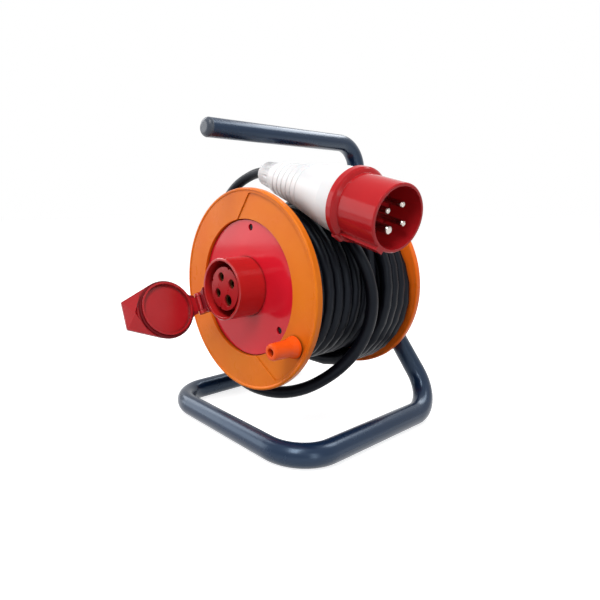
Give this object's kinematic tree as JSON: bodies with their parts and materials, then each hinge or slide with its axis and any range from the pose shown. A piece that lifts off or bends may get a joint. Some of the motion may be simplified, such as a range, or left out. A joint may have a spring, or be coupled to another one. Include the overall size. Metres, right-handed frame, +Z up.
{
  "type": "extension cord reel",
  "caption": "Cable reel on a bent tube stand: flanged drum wound with heavy cord, lidded industrial socket and crank knob on its face, plug on the free end.",
  "frame": {"origin": "centre of the footprint on the floor, measured without the cord and its plug", "axes": "+Z up, +Y along the axle from the socket face to the stand, +X to the right seen from the socket face"},
  "size_m": [0.2451, 0.2734, 0.2782],
  "materials": {
    "tube_paint": "satin dark blue-grey paint",
    "black_plastic": "moulded, fine grain",
    "zinc_steel": "zinc plated",
    "black_screw": "black oxide",
    "orange_plastic": "glossy moulded",
    "rear_orange": "glossy moulded",
    "bush_plastic": "natural nylon",
    "red_plastic": "glossy moulded",
    "deep_red": "glossy moulded",
    "seal_rubber": "soft rubber",
    "brass": "plain",
    "cord_rubber": "heavy rubber sheath",
    "wire_brown": "wire insulation",
    "wire_green": "wire insulation",
    "white_plastic": "moulded, fine grain",
    "pin_metal": "nickel plated"
  },
  "bodies": {
    "stand": {"base_loop": "tube_paint", "handle_tube": "tube_paint", "handle_end_cap": "black_plastic", "axle_plate": "tube_paint", "axle": "zinc_steel", "rear_washer": "zinc_steel", "front_washer": "zinc_steel", "axle_nut": "zinc_steel", "cord_tail": "cord_rubber", "gland_nut": "white_plastic", "gland_seal": "seal_rubber", "plug_housing": "white_plastic", "plug_shroud": "red_plastic", "pin_carrier": "deep_red", "phase_pins": "pin_metal", "earth_pin": "pin_metal"},
    "drum": {"rear_flange_screws": "zinc_steel", "front_flange_screws": "zinc_steel", "socket_screws": "zinc_steel", "lid_hinge_pin": "zinc_steel", "knob_pin": "zinc_steel", "knob_washer": "zinc_steel", "clamp_bar": "zinc_steel", "clamp_screws": "zinc_steel", "plate_screws": "black_screw", "front_flange": "orange_plastic", "drum_core": "orange_plastic", "clamp_saddle": "orange_plastic", "rear_flange": "rear_orange", "rear_bush": "bush_plastic", "front_bush": "bush_plastic", "face_plate": "red_plastic", "socket_body": "red_plastic", "contact_carrier": "deep_red", "entry_grommet": "seal_rubber", "phase_contacts": "brass", "earth_contact": "brass", "lead_in": "cord_rubber", "cord_winding": "cord_rubber", "phase_leads": "wire_brown", "earth_lead": "wire_green"},
    "lid": {"lid": "deep_red", "lid_seal": "seal_rubber"},
    "knob": {"crank_knob": "orange_plastic"}
  },
  "joints": [
    {"name": "drum_spin", "type": "hinge", "parent": "stand", "child": "drum", "pos_m": [0, 0, 0.1275], "axis": [0, 1, 0], "continuous": true},
    {"name": "lid_hinge", "type": "hinge", "parent": "drum", "child": "lid", "pos_m": [-0.03017, -0.0627, 0.11077], "axis": [0.4848, 0, -0.8746], "range_deg": [-93, 22]},
    {"name": "knob_spin", "type": "hinge", "parent": "drum", "child": "knob", "pos_m": [0.06374, -0.0482, 0.08611], "axis": [0, 1, 0], "continuous": true}
  ]
}
